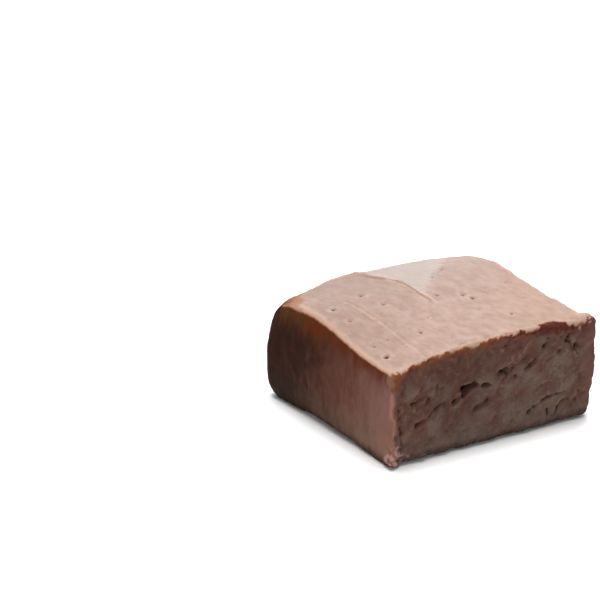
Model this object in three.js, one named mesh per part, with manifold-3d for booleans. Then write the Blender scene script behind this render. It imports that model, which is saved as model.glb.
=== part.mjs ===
// A hand-cut square of chocolate fudge, lying on its flat base. It is one solid.
// The block is domed on top and bellied at the sides, as soft fudge sags after it is cut.
// Its -Y and +X faces broke as they parted, so they are cragged, pitted and torn along slanting lines.
// Its -X and +Y faces are clean knife cuts. The top keeps the lipped scoop where a spatula lifted off.
// Millimetres, +Z up, with the origin at the middle of the base.

import * as THREE from "three";
import { mergeVertices } from "three/addons/utils/BufferGeometryUtils.js";
import { ImprovedNoise } from "three/addons/math/ImprovedNoise.js";
import Module from "manifold-3d";

const { clamp, lerp, degToRad, seededRandom, smoothstep } = THREE.MathUtils;

// Driving dimensions of the cut square: 44 by 37.5 mm, from a slab about 19 mm deep
const LENGTH = 44;
const DEPTH = 37.5;
const HEIGHT = 19;
const EDGE_RADIUS = 0.5;
const BASE_TRIM = 0.2;

// The underside stays level: only what faces further up than this is made uneven
const LEVEL = -0.5;

// The four top rims. Each runs between two corner heights, and its arch rises above the line between them.
const CORNERS = { frontLeft: 17.8, frontRight: 19.5, backLeft: 18.4, backRight: 19.9 };
const RIMS = {
  front: { arch: 1.9, peak: 0.47, fullness: 0.85 },
  back: { arch: 2.9, peak: 0.45, fullness: 0.65 },
  left: { arch: 2.3, peak: 0.65, fullness: 1.3 },
  right: { arch: 1.1, peak: 0.78, fullness: 1.6 },
};

// The share of the left and right arches that carries on into the middle of the top
const DOME = 0.25;

// How far each side bellies out: the left more towards the back, and the right higher up
const BELLY = { front: 0.7, back: 1.7, leftFront: 0.1, leftBack: 1.9, right: 1.2 };
const BELLY_RISE = { left: 0.85, right: 1.5 };
const BELLY_FULLNESS = 0.6;
const BASE_TUCK = 0.2;

// The slumped corner at the back left: the higher the sharpness, the nearer the top it starts
const SLUMP = { reach: 6, inward: 0.8, drop: 0.35, sharpness: 6 };

// The front left edge, which the knife pushed out of the broken face as a burr. It leans in towards the top.
const BURR = { out: 0.6, reach: 3.2, behind: 5, lean: 0.5, leanReach: 9 };

// Slow lumps all over. Each layer is a different slice of the same noise.
const LUMPS = { height: 0.22, wave: 11 };

// Crags on a broken face, drawn out along a slant, and their share at the rim and on the right face
const CRAGS = { height: 0.55, length: 5.0, width: 1.9, slant: degToRad(24) };
const FINE_CRAGS = { height: 0.3, length: 2.4, width: 1.3, slant: degToRad(38) };
const CRAGS_AT_RIM = 0.4;
const CRAGS_ON_RIGHT = 0.7;
const LAYERS = { front: 1.7, right: 8.2, fine: 5.3, notch: 3.1, fineNotch: 9.4 };

// Notches crumbled out of the rims above the broken faces, with little raised crumbs between them
const CRUMBLE = { reach: 1.4, height: 0.55, wave: 1.9, fineWave: 0.83, crumb: 0.35 };

// The scoop that the spatula left in the top: a wedge that opens to the back, with a lip along its left side
const SCOOP = {
  tip: new THREE.Vector2(-1.3, -1.5),
  leftBack: new THREE.Vector2(-5.0, DEPTH / 2),
  rightBack: new THREE.Vector2(19.0, DEPTH / 2),
  bow: 1.8,
  depth: 0.55,
  drop: 0.9,
  lip: 0.3,
  lipWidth: 1.6,
  lipInset: 0.5,
  rightWidth: 3.5,
  starts: -0.05,
  full: 0.4,
};

// Tears in the front face: the ends as [x, z] on the face, the bow between them, and the size of the slot
const TEARS = [
  { from: [-17.0, 7.1], to: [-10.4, 9.9], bow: -0.6, width: 0.55, depth: 0.9 },
  { from: [-10.6, 9.7], to: [-6.8, 10.3], bow: 0.2, width: 0.4, depth: 0.6 },
  { from: [-7.0, 10.2], to: [-4.6, 11.9], bow: 0.1, width: 0.9, depth: 1.6 },
  { from: [-7.4, 11.9], to: [-2.6, 12.2], bow: -0.3, width: 1.6, depth: 2.4 },
  { from: [-2.5, 11.3], to: [0.4, 11.3], bow: 0.3, width: 1.0, depth: 1.4 },
  { from: [0.3, 12.5], to: [3.9, 14.0], bow: 0.4, width: 0.8, depth: 1.5 },
  { from: [6.0, 12.6], to: [9.2, 15.1], bow: -0.3, width: 0.9, depth: 1.1 },
  { from: [10.1, 15.7], to: [11.4, 17.2], bow: 0.1, width: 0.7, depth: 1.0 },
  { from: [12.6, 13.7], to: [15.2, 15.1], bow: 0.3, width: 0.7, depth: 0.9 },
  { from: [16.4, 15.9], to: [19.0, 14.4], bow: 0.2, width: 1.0, depth: 1.4 },
  { from: [8.8, 5.2], to: [14.4, 6.9], bow: 0.4, width: 0.5, depth: 0.7 },
  { from: [14.7, 4.5], to: [17.4, 5.1], bow: -0.2, width: 0.7, depth: 0.9 },
  { from: [-4.2, 7.1], to: [-1.4, 7.6], bow: 0.3, width: 0.7, depth: 0.8 },
  { from: [-15.4, 10.7], to: [-12.8, 11.8], bow: 0.3, width: 0.8, depth: 0.8 },
];

// Tears in the right face, which is broken in the same way: the ends as [y, z] on the face
const RIGHT_TEARS = [
  { from: [-12.5, 6.2], to: [-5.0, 9.6], bow: 0.9, width: 0.8, depth: 1.2 },
  { from: [-3.6, 10.4], to: [2.6, 13.2], bow: -0.5, width: 1.3, depth: 1.9 },
  { from: [5.4, 12.6], to: [11.0, 15.0], bow: 0.6, width: 0.8, depth: 1.1 },
  { from: [6.5, 5.0], to: [12.0, 6.6], bow: -0.4, width: 0.6, depth: 0.8 },
];

// How much a tear wanders and swells, as shares of its width, and how often along its length
const TEAR = { sides: 6, steps: 10, wander: 0.5, wanders: 5, swelling: 0.5, swellings: 7 };

// Chips out of the upright edge between the knife cut and the broken front: [height up the edge, radius]
const EDGE_CHIPS = [
  [11.2, 0.7],
  [8.0, 0.8],
  [5.6, 1.2],
  [3.9, 0.9],
];

const CHIP = { across: 0.8, up: 1.3, out: 0.7, inset: 0.9, raised: 0.2 };

// Air pits in the top, as [x, y, radius], and more scattered over all three open faces
const TOP_PITS = [
  [-18.9, -13.3, 0.45],
  [-18.7, -9.0, 0.42],
  [-15.8, -8.8, 0.32],
  [-9.7, -10.2, 0.38],
  [-18.5, 5.3, 0.38],
  [-18.1, -0.1, 0.36],
  [-10.8, 7.8, 0.42],
  [-9.4, 2.5, 0.36],
  [-5.1, -6.5, 0.45],
  [1.4, 1.1, 0.38],
  [5.9, -0.9, 0.4],
  [6.8, -2.8, 0.42],
  [8.8, -12.1, 0.36],
];
const SCATTER = { front: 11, right: 6, top: 5, smallest: 0.35, largest: 0.65, margin: 2.2, seed: 7 };
const PIT_DEPTH = 1.3;

// Grid lines along X, Y and Z, crowded towards the edges
const SEGMENTS = [44, 24, 16];
const CROWDING = 0.35;

const noise = new ImprovedNoise();

// The rim's height at a share t of its length
function rimHeight(t, start, end, { arch, peak, fullness }) {
  const skewed = Math.pow(t, Math.log(0.5) / Math.log(peak));
  const rise = Math.pow(Math.max(0, Math.sin(Math.PI * skewed)), fullness);
  return lerp(start, end, t) + arch * rise;
}

// The top's height at the shares u and v along X and Y: a Coons patch between the four rims,
// in which the arches of the left and right rims die away towards the middle
function topHeight(u, v) {
  const { frontLeft, frontRight, backLeft, backRight } = CORNERS;
  const frontToBack = lerp(
    rimHeight(u, frontLeft, frontRight, RIMS.front),
    rimHeight(u, backLeft, backRight, RIMS.back),
    v,
  );
  const leftToRight = lerp(
    rimHeight(v, frontLeft, backLeft, RIMS.left),
    rimHeight(v, frontRight, backRight, RIMS.right),
    u,
  );
  const plane = lerp(lerp(frontLeft, frontRight, u), lerp(backLeft, backRight, u), v);
  const carried = lerp(1, DOME, Math.sin(Math.PI * u));
  return frontToBack + carried * (leftToRight - plane);
}

// Sides that belly out at mid-height and tuck in at the base
function belly(point, u, v, w) {
  const rise = lerp(BELLY_RISE.left, BELLY_RISE.right, u);
  const swell = Math.pow(Math.max(0, Math.sin(Math.PI * Math.pow(w, rise))), BELLY_FULLNESS);
  const tuck = BASE_TUCK * Math.pow(1 - w, 4);
  const left = lerp(BELLY.leftFront, BELLY.leftBack, v);
  const alongX = lerp(left, BELLY.right, smoothstep(u, 0, 1)) * swell - tuck;
  const alongY = lerp(BELLY.front, BELLY.back, smoothstep(v, 0, 1)) * swell - tuck;
  point.x += alongX * (2 * u - 1);
  point.y += alongY * (2 * v - 1);
}

// The back left corner, rounder than the rest and slumped inwards at the top
function slump(point, u, v, w) {
  const toCorner = Math.hypot(u * LENGTH, (1 - v) * DEPTH);
  const near = 1 - smoothstep(toCorner, 0, SLUMP.reach);
  const share = near * near * Math.pow(w, SLUMP.sharpness);
  point.x += SLUMP.inward * share * Math.SQRT1_2;
  point.y -= SLUMP.inward * share * Math.SQRT1_2;
  point.z -= SLUMP.drop * near * w;
}

// The burr along the front left edge
function burr(point, u, v, w) {
  const across = u * LENGTH;
  const behind = v * DEPTH;
  const near = (1 - smoothstep(across, 0, BURR.reach)) * (1 - smoothstep(behind, 0, BURR.behind));
  const leaning = (1 - smoothstep(across, 0, BURR.leanReach)) * (1 - smoothstep(behind, 0, BURR.leanReach));
  point.y -= BURR.out * near;
  point.x += BURR.lean * leaning * w;
}

// Noise drawn out along a slanting line, as the fudge tears
function slantedNoise(across, up, { length, width, slant }, layer) {
  const along = across * Math.cos(slant) + up * Math.sin(slant);
  const over = up * Math.cos(slant) - across * Math.sin(slant);
  return noise.noise(along / length, over / width, layer);
}

// How far a point on a broken face stands out
function crags(across, up, layer) {
  const coarse = CRAGS.height * slantedNoise(across, up, CRAGS, layer);
  const fine = FINE_CRAGS.height * slantedNoise(across, up, FINE_CRAGS, layer + LAYERS.fine);
  return coarse + fine;
}

// The share of a broken face in a point's outward direction: 1 on the front, less on the right
function brokenShare(outward) {
  return [clamp(-outward.y, 0, 1), CRAGS_ON_RIGHT * clamp(outward.x, 0, 1)];
}

// How deeply the rim above a broken face has crumbled at a distance along it
function notch(along) {
  const coarse = noise.noise(along / CRUMBLE.wave, LAYERS.notch, 0);
  const fine = noise.noise(along / CRUMBLE.fineWave, LAYERS.fineNotch, 0) / 2;
  return Math.max(coarse + fine, -CRUMBLE.crumb);
}

// Lumps all over, crags on the broken faces, and a crumbled rim above them
function unevenness(point, flat, outward) {
  const { x, y, z } = flat.clone().divideScalar(LUMPS.wave);
  const lump = LUMPS.height * noise.noise(x, y, z);
  const [front, right] = brokenShare(outward);
  const clearOfRim = smoothstep(HEIGHT - flat.z, 0, CRUMBLE.reach);
  const cragged = front * crags(flat.x, flat.z, LAYERS.front) + right * crags(flat.y, flat.z, LAYERS.right);
  point.addScaledVector(outward, lump + cragged * lerp(CRAGS_AT_RIM, 1, clearOfRim));

  const toFront = flat.y + DEPTH / 2;
  const toRight = (LENGTH / 2 - flat.x) / CRAGS_ON_RIGHT;
  const toRim = Math.hypot(Math.min(toFront, toRight), HEIGHT - flat.z);
  const nearRim = 1 - smoothstep(toRim, 0, CRUMBLE.reach);
  point.z -= CRUMBLE.height * nearRim * notch(toFront < toRight ? flat.x : flat.y);
}

// The signed distance to the right of the line from start to end, bowed to that side, and the share along it
function besideLine(x, y, start, end, bow) {
  const line = end.clone().sub(start);
  const offset = new THREE.Vector2(x, y).sub(start);
  const share = offset.dot(line) / line.lengthSq();
  const distance = line.cross(offset) / -line.length();
  return [distance - bow * 4 * share * (1 - share), share];
}

// The spatula's scoop: its left side is a lip that stands up and drops sharply, its right side fades out
function scoop(point, flat, outward) {
  const { tip, leftBack, rightBack, bow, depth, drop, lip, lipWidth, lipInset } = SCOOP;
  const [fromLip, along] = besideLine(flat.x, flat.y, tip, leftBack, bow);
  const [pastRight] = besideLine(flat.x, flat.y, tip, rightBack, 0);
  const started = smoothstep(along, SCOOP.starts, SCOOP.full);
  const faded = smoothstep(pastRight, -SCOOP.rightWidth, SCOOP.rightWidth);
  const sunk = smoothstep(fromLip, 0, drop) * (1 - faded);
  const raised = 1 - smoothstep(Math.abs(fromLip + lipInset), 0, lipWidth);
  point.z += clamp(outward.z, 0, 1) * started * (lip * raised - depth * sunk);
}

// How far along, across and up the flat-sided block a point is, each from 0 to 1
function shares(flat) {
  return {
    u: clamp(flat.x / LENGTH + 0.5, 0, 1),
    v: clamp(flat.y / DEPTH + 0.5, 0, 1),
    w: clamp(flat.z / HEIGHT, 0, 1),
  };
}

// Where a point of the flat-sided block ends up, with outward its direction away from the block
function shaped(flat, outward) {
  const { u, v, w } = shares(flat);
  const point = flat.clone();
  point.z = flat.z * (topHeight(u, v) / HEIGHT);
  belly(point, u, v, w);
  slump(point, u, v, w);
  burr(point, u, v, w);
  if (outward.z > LEVEL) {
    unevenness(point, flat, outward);
    scoop(point, flat, outward);
  }
  return point;
}

// A share of an edge's length moved towards its nearer end, so that the grid is finest at the edges
function crowded(share) {
  return share - (CROWDING * Math.sin(2 * Math.PI * share)) / (2 * Math.PI);
}

// A geometry reduced to shared corners, which is what a closed solid is made from
function welded(geometry) {
  geometry.deleteAttribute("normal");
  geometry.deleteAttribute("uv");
  return mergeVertices(geometry, 1e-4);
}

// Moves each corner of a geometry to where place puts it
function moved(geometry, place) {
  const position = geometry.getAttribute("position");
  const corner = new THREE.Vector3();
  for (let i = 0; i < position.count; i++) {
    const { x, y, z } = place(corner.fromBufferAttribute(position, i));
    position.setXYZ(i, x, y, z);
  }
  return geometry;
}

// The block: a box with rounded edges, shaped
function block() {
  const inset = new THREE.Vector3(LENGTH, DEPTH, HEIGHT).divideScalar(2).subScalar(EDGE_RADIUS);
  const middle = new THREE.Vector3(0, 0, HEIGHT / 2);
  return moved(welded(new THREE.BoxGeometry(1, 1, 1, ...SEGMENTS)), (corner) => {
    const onBox = new THREE.Vector3(
      LENGTH * (crowded(corner.x + 0.5) - 0.5),
      DEPTH * (crowded(corner.y + 0.5) - 0.5),
      HEIGHT * (crowded(corner.z + 0.5) - 0.5),
    );
    const inner = onBox.clone().clamp(inset.clone().negate(), inset);
    const outward = onBox.sub(inner).normalize();
    return shaped(inner.addScaledVector(outward, EDGE_RADIUS).add(middle), outward);
  });
}

// The faces that are torn or pitted: across and up run along the face, and corner is where both are zero
const FACES = {
  front: {
    corner: new THREE.Vector3(0, -DEPTH / 2, 0),
    across: new THREE.Vector3(1, 0, 0),
    up: new THREE.Vector3(0, 0, 1),
    outward: new THREE.Vector3(0, -1, 0),
  },
  right: {
    corner: new THREE.Vector3(LENGTH / 2, 0, 0),
    across: new THREE.Vector3(0, 1, 0),
    up: new THREE.Vector3(0, 0, 1),
    outward: new THREE.Vector3(1, 0, 0),
  },
  top: {
    corner: new THREE.Vector3(0, 0, HEIGHT),
    across: new THREE.Vector3(1, 0, 0),
    up: new THREE.Vector3(0, 1, 0),
    outward: new THREE.Vector3(0, 0, 1),
  },
};

// Where a point of the finished face, out by some distance, ends up. Heights up a side are real ones.
function onFace(face, across, up, out) {
  const flat = face.corner
    .clone()
    .addScaledVector(face.across, across)
    .addScaledVector(face.up, up)
    .addScaledVector(face.outward, out);
  if (face.up.z) {
    const { u, v } = shares(flat);
    flat.z *= HEIGHT / topHeight(u, v);
  }
  return shaped(flat, face.outward);
}

// A slot along a bowed line on a face, tapered to nothing at both ends, wandering and swelling a little
function tear(face, { from, to, bow, width, depth }) {
  const start = new THREE.Vector2(...from);
  const line = new THREE.Vector2(...to).sub(start);
  const side = new THREE.Vector2(line.y, -line.x).normalize();
  return moved(welded(new THREE.SphereGeometry(1, TEAR.sides, TEAR.steps)), ({ x, y, z }) => {
    const share = (y + 1) / 2;
    const wander = TEAR.wander * width * noise.noise(share * TEAR.wanders, from[0], from[1]);
    const swelling = 1 + TEAR.swelling * noise.noise(share * TEAR.swellings, to[0], to[1]);
    const offset = (x * width * swelling) / 2 - wander - bow * 4 * share * (1 - share);
    const place = start.clone().addScaledVector(line, share).addScaledVector(side, offset);
    return onFace(face, place.x, place.y, z * depth * swelling);
  });
}

// A round pit in a face, deeper than it is wide
function pit(face, across, up, radius) {
  return moved(welded(new THREE.OctahedronGeometry(radius, 1)), ({ x, y, z }) =>
    onFace(face, across + x, up + y, z * PIT_DEPTH),
  );
}

// Small pits scattered over a face of the given size, whose lower left corner is at low
function scatteredPits(face, count, low, size) {
  const { smallest, largest, margin } = SCATTER;
  return Array.from({ length: count }, () => {
    const across = low[0] + lerp(margin, size[0] - margin, seededRandom());
    const up = low[1] + lerp(margin, size[1] - margin, seededRandom());
    return pit(face, across, up, lerp(smallest, largest, seededRandom() ** 2));
  });
}

// A chip out of the upright edge at the front left, taller than it is wide
function edgeChip([up, radius]) {
  const fromCorner = -LENGTH / 2 + CHIP.inset * radius;
  return moved(welded(new THREE.IcosahedronGeometry(radius, 1)), ({ x, y, z }) =>
    onFace(FACES.front, fromCorner + CHIP.across * x, up + CHIP.up * z, CHIP.raised - CHIP.out * y),
  );
}

// Everything that is cut out of the block's faces
function hollows() {
  seededRandom(SCATTER.seed);
  return [
    ...TEARS.map((row) => tear(FACES.front, row)),
    ...RIGHT_TEARS.map((row) => tear(FACES.right, row)),
    ...EDGE_CHIPS.map(edgeChip),
    ...TOP_PITS.map(([x, y, radius]) => pit(FACES.top, x, y, radius)),
    ...scatteredPits(FACES.front, SCATTER.front, [-LENGTH / 2, 0], [LENGTH, HEIGHT]),
    ...scatteredPits(FACES.right, SCATTER.right, [-DEPTH / 2, 0], [DEPTH, HEIGHT]),
    ...scatteredPits(FACES.top, SCATTER.top, [-LENGTH / 2, -DEPTH / 2], [LENGTH, DEPTH]),
  ];
}

const wasm = await Module();
wasm.setup();

// A closed geometry as a solid
function solid(geometry) {
  return new wasm.Manifold(
    new wasm.Mesh({
      numProp: 3,
      vertProperties: new Float32Array(geometry.getAttribute("position").array),
      triVerts: new Uint32Array(geometry.index.array),
    }),
  );
}

// A solid as a geometry again
function surface(manifold) {
  const mesh = manifold.getMesh();
  return new THREE.BufferGeometry()
    .setAttribute("position", new THREE.BufferAttribute(mesh.vertProperties, 3))
    .setIndex(new THREE.BufferAttribute(mesh.triVerts, 1));
}

// The block with its hollows, cut off level for the base and centred over the origin
function fudgeGeometry() {
  const underBase = new THREE.BoxGeometry(2 * LENGTH, 2 * DEPTH, HEIGHT);
  underBase.translate(0, 0, BASE_TRIM - HEIGHT / 2);
  const cut = [...hollows(), welded(underBase)].reduce(
    (whole, hollow) => whole.subtract(solid(hollow)),
    solid(block()),
  );
  const geometry = surface(cut);
  geometry.computeBoundingBox();
  const { min, max } = geometry.boundingBox;
  geometry.translate(-(min.x + max.x) / 2, -(min.y + max.y) / 2, -min.z);
  geometry.computeVertexNormals();
  return geometry;
}

const fudge = new THREE.Mesh(
  fudgeGeometry(),
  new THREE.MeshStandardMaterial({ color: 0x7d5344, roughness: 0.5, metalness: 0 }),
);
fudge.name = "fudge_square";

const group = new THREE.Group();
group.add(fudge);

export default group;
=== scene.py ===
# A square of chocolate fudge on a white table, lit softly from above and behind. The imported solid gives
# its form. Its skin is made here: the torn, cut and smoothed faces, the rims and the crumbs.
from math import cos, radians, sin

import bmesh
import bpy
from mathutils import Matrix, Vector


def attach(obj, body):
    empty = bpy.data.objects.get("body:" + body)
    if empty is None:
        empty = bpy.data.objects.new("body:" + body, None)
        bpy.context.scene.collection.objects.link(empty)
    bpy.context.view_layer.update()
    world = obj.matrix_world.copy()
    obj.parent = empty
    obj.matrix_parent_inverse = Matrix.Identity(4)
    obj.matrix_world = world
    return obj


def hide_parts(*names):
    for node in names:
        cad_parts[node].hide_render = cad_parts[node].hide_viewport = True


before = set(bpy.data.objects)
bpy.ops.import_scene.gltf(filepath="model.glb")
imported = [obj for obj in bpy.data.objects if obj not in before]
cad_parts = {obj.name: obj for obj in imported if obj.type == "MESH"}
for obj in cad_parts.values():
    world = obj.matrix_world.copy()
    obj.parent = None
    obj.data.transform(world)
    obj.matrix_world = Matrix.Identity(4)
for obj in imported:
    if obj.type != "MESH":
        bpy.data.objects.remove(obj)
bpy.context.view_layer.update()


# The camera. A long lens, a little above the table, looking at the corner between the knife cut and
# the torn face. AIM is the point in the middle of the picture, above the table behind the back left corner.
MM = 0.001
AZIMUTH, ELEVATION = radians(-30.9), radians(21.33)
AIM = Vector((-18.8, 15.77, 19.5)) * MM
DISTANCE = 417.3 * MM

towards_camera = Vector((sin(AZIMUTH) * cos(ELEVATION), -cos(AZIMUTH) * cos(ELEVATION), sin(ELEVATION)))
lens = bpy.data.cameras.new("camera")
lens.lens = 135
lens.sensor_width = 36
lens.clip_start, lens.clip_end = 0.01, 10
camera = bpy.data.objects.new("camera", lens)
camera.location = AIM + towards_camera * DISTANCE
camera.rotation_mode = "QUATERNION"
camera.rotation_quaternion = (-towards_camera).to_track_quat("-Z", "Y")
bpy.context.scene.collection.objects.link(camera)
bpy.context.scene.camera = camera


# The square of fudge. Boiled sugar, milk and cocoa, beaten until it is finely crystalline, then set in
# a slab and cut by hand. The knife leaves its left and back faces smeared smooth. The front and right
# faces parted by themselves, so they are torn and crumbly. The top has the dry skin of the slab.
def add(tree, kind, sockets=(), out=0, **settings):
    """Adds a node to a tree and returns one of its outputs. sockets gives each input, by name or in
    order, its value or the output that feeds it. A Map Range takes a value, the two ends that it is
    read between and what those two become, which is 0 and 1 where nothing is said."""
    node = tree.nodes.new(kind)
    for name, value in settings.items():
        setattr(node, name, value)
    shown = [socket for socket in node.inputs if socket.enabled]
    by_name = {socket.name: socket for socket in reversed(shown)}
    for key, value in dict(sockets if isinstance(sockets, dict) else enumerate(sockets)).items():
        socket = by_name[key] if isinstance(key, str) else shown[key]
        if isinstance(value, bpy.types.NodeSocket):
            tree.links.new(value, socket)
        else:
            socket.default_value = value
    outputs = [socket for socket in node.outputs if socket.enabled]
    return node.outputs[out] if isinstance(out, str) else outputs[out]


def new_tree(name, sizes):
    """A geometry tree with a named input for each size, and those inputs"""
    tree = bpy.data.node_groups.new(name, "GeometryNodeTree")
    tree.interface.new_socket("Geometry", in_out="INPUT", socket_type="NodeSocketGeometry")
    tree.interface.new_socket("Geometry", in_out="OUTPUT", socket_type="NodeSocketGeometry")
    for label, value in sizes.items():
        kind = "NodeSocketInt" if isinstance(value, int) else "NodeSocketFloat"
        tree.interface.new_socket(label, in_out="INPUT", socket_type=kind)
    return tree, {socket.name: socket for socket in tree.nodes.new("NodeGroupInput").outputs}


def use_tree(piece, tree, geometry, material, sizes):
    """Ends a tree in plain geometry with its material, and puts it on a piece with its sizes set"""
    plain = add(tree, "GeometryNodeRealizeInstances", [geometry])
    finished = add(tree, "GeometryNodeSetMaterial", {"Geometry": plain, "Material": material})
    tree.links.new(finished, tree.nodes.new("NodeGroupOutput").inputs[0])
    modifier = piece.modifiers.new(tree.name, "NODES")
    modifier.node_group = tree
    for item in tree.interface.items_tree:
        if item.in_out == "INPUT" and item.name in sizes:
            modifier[item.identifier] = sizes[item.name]


EASED = {"interpolation_type": "SMOOTHSTEP"}
VECTOR = {"data_type": "FLOAT_VECTOR"}
fudge_material = bpy.data.materials.new("chocolate_fudge")

# A closed copy of the solid, which the skin is made on
SKIN_CELL = 0.257 * MM
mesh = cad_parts["fudge_square"].data.copy()
mesh.name = "fudge"
edges = bmesh.new()
edges.from_mesh(mesh)
bmesh.ops.remove_doubles(edges, verts=edges.verts, dist=1e-6)
edges.to_mesh(mesh)
edges.free()
mesh.materials.clear()
fudge = bpy.data.objects.new("fudge", mesh)
bpy.context.scene.collection.objects.link(fudge)

# Crumbs that cling to the torn faces in loose patches, thickly at the foot of the front left edge and
# closely at the upper right of the front, each sunk into the face
CRUMBS = {
    "Crumbs per square metre": 90000.0,
    "Crumbs at the corner": 1500000.0,
    "Crumbs at the upper right": 600000.0,
    "Patches per metre": 300.0,
    "Smallest crumb": 0.32 * MM,
    "Largest crumb": 0.75 * MM,
    "Crumb seed": 7,
}
CRUMBLED_CORNER = Vector((-21.0, -19.9, 1.2)) * MM
CRUMBLED_UPPER_RIGHT = Vector((15.5, -19.5, 15.0)) * MM
tree, given = new_tree("Crumbs", CRUMBS)
normal = add(tree, "GeometryNodeInputNormal")
position = add(tree, "GeometryNodeInputPosition")
outward = {axis: add(tree, "ShaderNodeSeparateXYZ", [normal], out=axis) for axis in "XY"}
place = {axis: add(tree, "ShaderNodeSeparateXYZ", [position], out=axis) for axis in "XZ"}
front = add(tree, "ShaderNodeMapRange", [outward["Y"], -0.5, -0.8], **EASED)
right = add(tree, "ShaderNodeMapRange", [outward["X"], 0.5, 0.8], **EASED)
torn = add(tree, "ShaderNodeMath", [front, right], operation="MAXIMUM")
clear_of_table = add(tree, "ShaderNodeMapRange", [place["Z"], 0.5 * MM, 1.5 * MM], **EASED)
torn = add(tree, "ShaderNodeMath", [torn, clear_of_table], operation="MULTIPLY")
patches = add(tree, "ShaderNodeTexNoise",
              {"Vector": position, "Scale": given["Patches per metre"], "Detail": 1.0})
patches = add(tree, "ShaderNodeMapRange", [patches, 0.45, 0.6], **EASED)
loose = add(tree, "ShaderNodeMath", [torn, patches], operation="MULTIPLY")
off_edges = add(tree, "ShaderNodeMapRange", [place["X"], 21.0 * MM, 19.0 * MM], **EASED)
loose = add(tree, "ShaderNodeMath", [loose, off_edges], operation="MULTIPLY")
loose = add(tree, "ShaderNodeMath", [loose, given["Crumbs per square metre"]], operation="MULTIPLY")
from_corner = add(tree, "ShaderNodeVectorMath", [position, CRUMBLED_CORNER], out="Value",
                  operation="DISTANCE")
near_corner = add(tree, "ShaderNodeMapRange", [from_corner, 2.6 * MM, 1.2 * MM], **EASED)
thick = add(tree, "ShaderNodeMath", [near_corner, given["Crumbs at the corner"]], operation="MULTIPLY")
density = add(tree, "ShaderNodeMath", [loose, thick], operation="ADD")
from_there = add(tree, "ShaderNodeVectorMath", [position, CRUMBLED_UPPER_RIGHT], out="Value",
                 operation="DISTANCE")
close = add(tree, "ShaderNodeMapRange", [from_there, 5.5 * MM, 2.5 * MM], **EASED)
close = add(tree, "ShaderNodeMath", [close, front], operation="MULTIPLY")
close = add(tree, "ShaderNodeMath", [close, given["Crumbs at the upper right"]], operation="MULTIPLY")
density = add(tree, "ShaderNodeMath", [density, close], operation="ADD")
places = add(tree, "GeometryNodeDistributePointsOnFaces",
             {"Mesh": given["Geometry"], "Density": density, "Seed": given["Crumb seed"]})
lump = add(tree, "GeometryNodeMeshIcoSphere", {"Radius": 1.0, "Subdivisions": 1})
turn = add(tree, "FunctionNodeRandomValue", {"Max": (6.3, 6.3, 6.3), "Seed": 1}, **VECTOR)
uneven = add(tree, "FunctionNodeRandomValue",
             {"Min": (0.6, 0.6, 0.6), "Max": (1.3, 1.3, 1.3), "Seed": 2}, **VECTOR)
size = add(tree, "FunctionNodeRandomValue", {"Min": 0.0, "Max": 1.0, "Seed": 3})
few_large = add(tree, "ShaderNodeMath", [size, 2.0], operation="POWER")
radius = add(tree, "ShaderNodeMapRange",
             [few_large, 0.0, 1.0, given["Smallest crumb"], given["Largest crumb"]])
scale = add(tree, "ShaderNodeVectorMath", {"Vector": uneven, "Scale": radius}, operation="SCALE")
crumbs = add(tree, "GeometryNodeInstanceOnPoints",
             {"Points": places, "Instance": lump, "Rotation": turn, "Scale": scale})
both = tree.nodes.new("GeometryNodeJoinGeometry")
tree.links.new(add(tree, "GeometryNodeRealizeInstances", [crumbs]), both.inputs[0])
tree.links.new(given["Geometry"], both.inputs[0])
use_tree(fudge, tree, both.outputs[0], fudge_material, CRUMBS)

# One skin over the solid and its crumbs
remesh = fudge.modifiers.new("One skin", "REMESH")
remesh.mode = "VOXEL"
remesh.voxel_size = SKIN_CELL

# What the later trees need to know about each point: the way it faces before any relief, how far it is
# below the top, in millimetres, and its share of each kind of face. The bottom edge and one corner of
# the top get their form here too.
FACINGS = {
    "Smoothing": 3,
    "Facing spread": 11,
    "Inset": 1.3 * MM,
    "Rim waves per metre": 600.0,
    "Rim wave of cuts": 0.08,
    "Rim wave of tears": 0.40,
    "Foot spread": 40,
    "Foot lift": 0.85 * MM,
    "Foot lift of cuts": 0.9 * MM,
    "Foot height": 2.2 * MM,
    "Corner reach": 3.4 * MM,
    "Corner push": 0.85 * MM,
}
BACK_LEFT_TIP = Vector((-22.0, 16.5, 18.0)) * MM
TOP_RIGHT_CORNER = Vector((22.4, -18.6, 19.6)) * MM
# Where the skin of the top is chipped along the front, and how far each chip reaches, in millimetres
CHIPS = [((-20.9, -19.7, 17.0), 1.35), ((13.2, -19.3, 19.8), 2.1), ((22.6, -18.9, 19.0), 1.5)]
tree, given = new_tree("Facings", FACINGS)
position = add(tree, "GeometryNodeInputPosition")
smoothed = add(tree, "GeometryNodeBlurAttribute", [position, given["Smoothing"]], **VECTOR)
eased = add(tree, "GeometryNodeSetPosition", {"Geometry": given["Geometry"], "Position": smoothed})
normal = add(tree, "GeometryNodeInputNormal")
height = add(tree, "ShaderNodeSeparateXYZ", [position], out="Z")
low = add(tree, "FunctionNodeCompare", {"A": height, "B": 0.4 * MM}, operation="LESS_THAN")
upwards = add(tree, "ShaderNodeSeparateXYZ", [normal], out="Z")
down = add(tree, "FunctionNodeCompare", {"A": upwards, "B": -0.5}, operation="LESS_THAN")
underside = add(tree, "FunctionNodeBooleanMath", [low, down], operation="AND")
level = add(tree, "ShaderNodeVectorMath", [position, (1, 1, 0)], operation="MULTIPLY")
seated = add(tree, "GeometryNodeSetPosition", {"Geometry": eased, "Selection": underside, "Position": level})
spread = add(tree, "GeometryNodeBlurAttribute", [normal, given["Facing spread"]], **VECTOR)
facing = add(tree, "ShaderNodeVectorMath", [spread], operation="NORMALIZE")
told = add(tree, "GeometryNodeStoreNamedAttribute",
           {"Geometry": seated, "Name": "facing", "Value": facing}, **VECTOR)

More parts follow.
